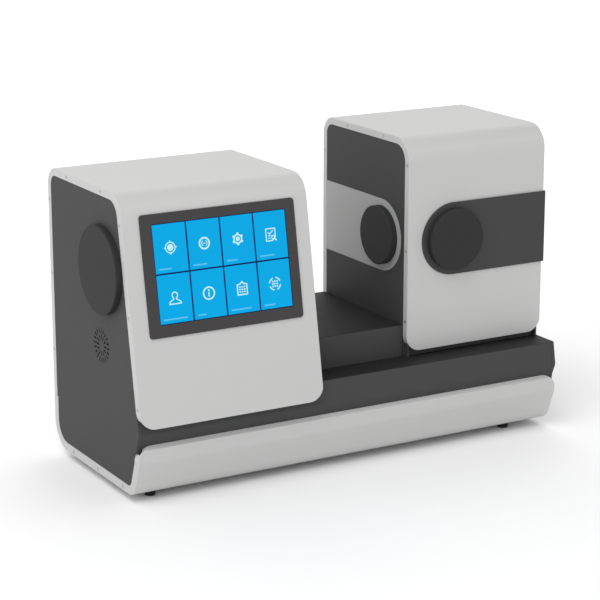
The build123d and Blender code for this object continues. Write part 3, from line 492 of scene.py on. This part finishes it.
def tile_tree(tree, entry):
    one = add(tree, "GeometryNodeMeshCube")
    size = add(tree, "ShaderNodeCombineXYZ", X=entry.outputs["Tile width"],
               Y=entry.outputs["Tile height"], Z=entry.outputs["Tile thickness"])
    tree.links.new(size.outputs[0], one.inputs["Size"])
    lay = add(tree, "GeometryNodeInstanceOnPoints", Points=entry.outputs["Geometry"],
              Instance=one.outputs["Mesh"])
    tilt = add(tree, "ShaderNodeCombineXYZ", X=entry.outputs["Lean angle"])
    tree.links.new(tilt.outputs[0], lay.inputs["Rotation"])
    return lay.outputs["Instances"]


lean_angle = lean.angle(Vector((0.0, 1.0, 0.0)))
grow("screen_tiles", tile_tree, {
    "Tile width": tile_size[0] * MM, "Tile height": tile_size[1] * MM,
    "Tile thickness": (tile_rise[1] - tile_rise[0]) * MM, "Lean angle": lean_angle,
}, tile_points, tile_azure)

# %% [markdown]
# ## Icons
# Each tile holds one outlined sign about 15 mm across. They are generic signs: a target, an
# aperture, a gear, a checked sheet, a user, an information ring, a list and a ring of squares.
# Rings and strokes are drawn as plates, so one short function each is enough.

# %% Icon strokes
icon_rise = (0.10, 0.26)
line = 1.1


def ring(bm, x, y, radius, width=line, start=0.0, end=360.0, steps=32):
    """A ring or part of one, made of short four-sided plates."""
    inner = arc(x, y, radius - width / 2, start, end, steps)
    outer = arc(x, y, radius + width / 2, start, end, steps)
    for i in range(steps):
        plate(bm, [inner[i], outer[i], outer[i + 1], inner[i + 1]], *icon_rise)


def stroke(bm, x0, y0, x1, y1, width=line):
    """A straight line with a width."""
    along = Vector((x1 - x0, y1 - y0)).normalized()
    side = Vector((-along.y, along.x)) * width / 2
    plate(bm, [(x0 + side.x, y0 + side.y), (x0 - side.x, y0 - side.y),
               (x1 - side.x, y1 - side.y), (x1 + side.x, y1 + side.y)][::-1], *icon_rise)


def path(bm, points, width=line, closed=True):
    """A line through points, with its corners filled by small discs."""
    last = len(points) if closed else len(points) - 1
    for i in range(last):
        stroke(bm, *points[i], *points[(i + 1) % len(points)], width)
    for x, y in points:
        plate(bm, arc(x, y, width / 2, steps=8)[:-1], *icon_rise)


def disc(bm, x, y, radius, steps=20):
    plate(bm, arc(x, y, radius, steps=steps)[:-1], *icon_rise)


# %% [markdown]
# Each sign is a short function that draws about a centre in millimetres. All eight go into one
# mesh, in the order of the tiles: along the upper row and then along the lower one.


# %% Eight icons
icon_raise = 0.5


def target(bm, x, y):
    ring(bm, x, y, 6.0, 1.2)
    for quarter in range(4):
        a = radians(quarter * 90)
        stroke(bm, x + 6.2 * cos(a), y + 6.2 * sin(a), x + 7.9 * cos(a), y + 7.9 * sin(a), 1.4)
    disc(bm, x, y, 3.9)


def aperture(bm, x, y):
    ring(bm, x, y, 6.2, 1.9)
    ring(bm, x, y, 3.4, 0.9, -60, 60, steps=10)
    ring(bm, x, y, 3.4, 0.9, 120, 240, steps=10)
    stroke(bm, x - 1.5, y, x + 1.5, y, 1.0)


def gear(bm, x, y):
    ring(bm, x, y, 4.9, 1.7)
    for cx, cy in arc(x, y, 6.0, 30, 330, 5):
        disc(bm, cx, cy, 1.5)
    disc(bm, x, y, 2.7)


def checked_sheet(bm, x, y):
    path(bm, [(x - 6, y - 7), (x - 6, y + 7), (x + 6, y + 7), (x + 6, y - 2), (x + 2, y - 7)], 1.3)
    path(bm, [(x - 3, y + 2.5), (x - 1.2, y + 0.8), (x + 3, y + 4.6)], 1.3, closed=False)
    stroke(bm, x - 3.6, y - 1.2, x + 0.6, y - 1.2, 1.1)
    stroke(bm, x - 3.6, y - 4.0, x - 0.6, y - 4.0, 1.1)
    ring(bm, x + 3.4, y - 3.4, 2.2, 1.2, steps=20)
    stroke(bm, x + 5.0, y - 5.0, x + 7.2, y - 7.2, 1.5)


def user(bm, x, y):
    ring(bm, x, y + 3.2, 3.4, 1.3, -60, 240)
    path(bm, [(x - 1.8, y + 0.4), (x - 1.9, y - 1.4), (x - 6.6, y - 4.2), (x - 7.4, y - 6.6),
              (x + 7.4, y - 6.6), (x + 6.6, y - 4.2), (x + 1.9, y - 1.4), (x + 1.8, y + 0.4)],
         1.3, closed=False)


def information(bm, x, y):
    ring(bm, x, y, 6.9, 1.7)
    disc(bm, x, y + 3.2, 1.1)
    stroke(bm, x, y + 1.2, x, y - 4.0, 1.6)


def clipboard(bm, x, y):
    path(bm, [(x - 6.2, y - 7), (x - 6.2, y + 4.6), (x - 2.4, y + 5.2), (x, y + 7.8),
              (x + 2.4, y + 5.2), (x + 6.2, y + 4.6), (x + 6.2, y - 7)], 1.5)
    for row in range(3):
        for column in range(3):
            left, up = x - 4.1 + column * 3.0, y + 1.8 - row * 2.8
            stroke(bm, left, up, x - 1.9 + column * 3.0, up, 1.4)


def ring_of_squares(bm, x, y):
    for start in (20, 110, 200, 290):
        ring(bm, x, y, 7.2, 1.4, start, start + 60, steps=10)
    for row in (-1, 0, 1):
        for column in (-1, 0, 1):
            sx, sy = x + column * 2.9, y + row * 2.9
            stroke(bm, sx - 0.9, sy, sx + 0.9, sy, 1.8)


icons = bmesh.new()
drawings = (target, aperture, gear, checked_sheet, user, information, clipboard, ring_of_squares)
for index, draw in enumerate(drawings):
    cx, cy = tile_centre(index % tile_columns, index // tile_columns)
    draw(icons, cx, cy + icon_raise)
keep("screen_icons", icons, icon_white)

# %% [markdown]
# Below each sign a short plain bar stands where such screens have a caption. Its length varies
# from tile to tile as captions do, and it says nothing.

# %% Caption bars
caption_lengths = (16.0, 17.5, 14.0, 19.0, 30.0, 11.0, 26.0, 14.5)
caption_left = 4.2
caption_up = 4.6
caption_thickness = 1.5
caption_radius = 0.7
captions = bmesh.new()
for index, length in enumerate(caption_lengths):
    cx, cy = tile_centre(index % tile_columns, index // tile_columns)
    left = cx - tile_size[0] / 2 + caption_left
    up = cy - tile_size[1] / 2 + caption_up
    bar = rounded_box(left + length / 2, up, length, caption_thickness, caption_radius)
    plate(captions, bar, *icon_rise)
keep("caption_bars", captions, label_blue)

# %% [markdown]
# ## Rim screws
# Small sunk screws hold the covers' folded rims to the panels. Their places are measured along
# each rim, in metres. The ends that show follow the photograph, and the far ends mirror them.

# %% Places along the rims
left_low, left_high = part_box("left_cover")
right_low, right_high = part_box("right_cover")
tray_low, tray_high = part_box("base_tray")
rim_half = 4.4 * MM
tray_rim_half = 5.5 * MM
front_foot = 0.0938


def left_front(z):
    """Middle of the left rim's front run at a height."""
    return left_low.y + screen_lean * (z - front_foot) + rim_half


left_rim = [(left_high.y - back, left_high.z - rim_half) for back in (0.0555, 0.1503)]
left_rim += [(left_high.y - rim_half, z) for z in (0.316, 0.225, 0.130)]
left_rim += [(left_front(z), z) for z in (0.321, 0.219, 0.117)]
right_rim = [(right_high.y - back, right_high.z - rim_half) for back in (0.0595, 0.1437)]
right_rim += [(right_high.y - rim_half, z) for z in (0.339, 0.198, 0.130)]
right_rim += [(right_low.y + rim_half, z) for z in (0.351, 0.246, 0.158)]
tray_rim = [(tray_high.y - back, tray_low.z + tray_rim_half) for back in (0.0549, 0.1244, 0.1925)]
screw_places = {
    -1: [(left_low.x, *p) for p in left_rim + tray_rim] + [(right_low.x, *p) for p in right_rim],
    1: [(right_high.x, *p) for p in right_rim + tray_rim] + [(left_high.x, *p) for p in left_rim],
}
print("screw places", sum(len(places) for places in screw_places.values()))

# %% [markdown]
# The screws are one shape at many places, so a node tree makes a head with a hexagon socket
# once and sets it on the points. Heads on a left-hand rim face left and those on a right-hand
# rim face right, by a turn about Y.


# %% Screw heads
head_radius = 2.0 * MM
head_depth = 1.8 * MM
socket_radius = 0.95 * MM
head_sunk = 0.75 * MM


def screw_tree(tree, entry):
    head = add(tree, "GeometryNodeMeshCylinder", Vertices=28, Radius=entry.outputs["Head radius"],
               Depth=entry.outputs["Head depth"])
    key = add(tree, "GeometryNodeMeshCylinder", Vertices=6, Radius=entry.outputs["Socket radius"],
              Depth=entry.outputs["Head depth"])
    lift = add(tree, "ShaderNodeMath", {"operation": "MULTIPLY"})
    tree.links.new(entry.outputs["Head depth"], lift.inputs[0])
    lift.inputs[1].default_value = 0.5
    offset = add(tree, "ShaderNodeCombineXYZ")
    tree.links.new(lift.outputs[0], offset.inputs["Z"])
    raised = add(tree, "GeometryNodeTransform", Geometry=key.outputs["Mesh"])
    tree.links.new(offset.outputs[0], raised.inputs["Translation"])
    cut = add(tree, "GeometryNodeMeshBoolean", {"operation": "DIFFERENCE"})
    tree.links.new(head.outputs["Mesh"], cut.inputs[0])
    tree.links.new(raised.outputs["Geometry"], cut.inputs[1])
    lay = add(tree, "GeometryNodeInstanceOnPoints", Points=entry.outputs["Geometry"],
              Instance=cut.outputs["Mesh"])
    turn = add(tree, "ShaderNodeCombineXYZ", Y=entry.outputs["Facing"])
    tree.links.new(turn.outputs[0], lay.inputs["Rotation"])
    return lay.outputs["Instances"]


for facing, places in screw_places.items():
    points = bpy.data.meshes.new("screw_points")
    points.from_pydata([(x - facing * head_sunk, y, z) for x, y, z in places], [], [])
    grow("rim_screws_left" if facing < 0 else "rim_screws_right", screw_tree, {
        "Head radius": head_radius, "Head depth": head_depth, "Socket radius": socket_radius,
        "Facing": facing * pi / 2,
    }, points, screw_steel)

# %% [markdown]
# ## Studio
# The picture is a product shot on a wide pale floor. The floor belongs to the stage, so it is
# not part of the model.

# %% Floor
floor_mesh = bmesh.new()
floor_half = 12.0
for x, y in ((-1, -1), (1, -1), (1, 1), (-1, 1)):
    floor_mesh.verts.new((x * floor_half, y * floor_half, 0.0))
floor_mesh.faces.new(floor_mesh.verts)
floor_data = bpy.data.meshes.new("floor")
floor_mesh.to_mesh(floor_data)
floor_mesh.free()
floor = bpy.data.objects.new("floor", floor_data)
bpy.context.scene.collection.objects.link(floor)
paper = Finish("paper")
paper_tone = paper.noise(0.4, detail=2.0)
paper.set(Base_Color=paper.tint(paper_tone.clamp(), (0.93, 0.93, 0.93), (0.95, 0.95, 0.95)))
paper.shader.inputs["Roughness"].default_value = 0.9
paper.shader.inputs["Specular IOR Level"].default_value = 0.1
floor_data.materials.append(paper.material)
print("floor", 2 * floor_half, "m across")

# %% [markdown]
# A large softbox stands overhead, to the front and left, with a weaker fill low on the left and
# a wash on the floor behind. Large lights and an even white world keep the shadows soft.


# %% Lights
def softbox(name, place, aim, side, power):
    """A square area light that faces a point."""
    light = bpy.data.lights.new(name, "AREA")
    light.shape = "RECTANGLE"
    light.size = side
    light.size_y = side
    light.energy = power
    lamp = bpy.data.objects.new(name, light)
    lamp.location = place
    lamp.rotation_euler = (Vector(aim) - Vector(place)).to_track_quat("-Z", "Y").to_euler()
    bpy.context.scene.collection.objects.link(lamp)
    print("light", name, power, "W")


model_middle = (0.0, 0.0, 0.18)
softbox("key_softbox", (-1.1, -0.8, 2.4), model_middle, 1.8, 21.0)
softbox("left_fill", (-2.4, -0.3, 0.9), model_middle, 1.6, 4.0)
softbox("background_wash", (2.0, 4.6, 3.2), (2.2, 5.0, 0.0), 5.0, 150.0)
world = bpy.data.worlds.new("studio")
world.use_nodes = True
sky = world.node_tree.nodes["Background"]
sky.inputs["Color"].default_value = (1.0, 1.0, 1.0, 1.0)
sky.inputs["Strength"].default_value = 0.80
bpy.context.scene.world = world
bpy.context.scene.view_settings.view_transform = "Standard"

# %% [markdown]
# ## Camera
# The camera stands where the photograph was taken from: in front and to the left, looking
# slightly down. Its place and lens were solved from the straight edges of the cabinets.

# %% Camera
camera_place = Vector((-1.2180, -2.0995, 0.8246))
camera_yaw = radians(29.91)
camera_pitch = radians(14.88)
focal_share = 2049.31 / 600.0
level = cos(camera_pitch)
look = Vector((sin(camera_yaw) * level, cos(camera_yaw) * level, -sin(camera_pitch)))
camera_data = bpy.data.cameras.new("camera")
camera_data.sensor_width = 36.0
camera_data.lens = camera_data.sensor_width * focal_share
camera = bpy.data.objects.new("camera", camera_data)
camera.location = camera_place
camera.rotation_euler = look.to_track_quat("-Z", "Y").to_euler()
bpy.context.scene.collection.objects.link(camera)
bpy.context.scene.camera = camera
print("camera lens", round(camera_data.lens, 2), "mm")
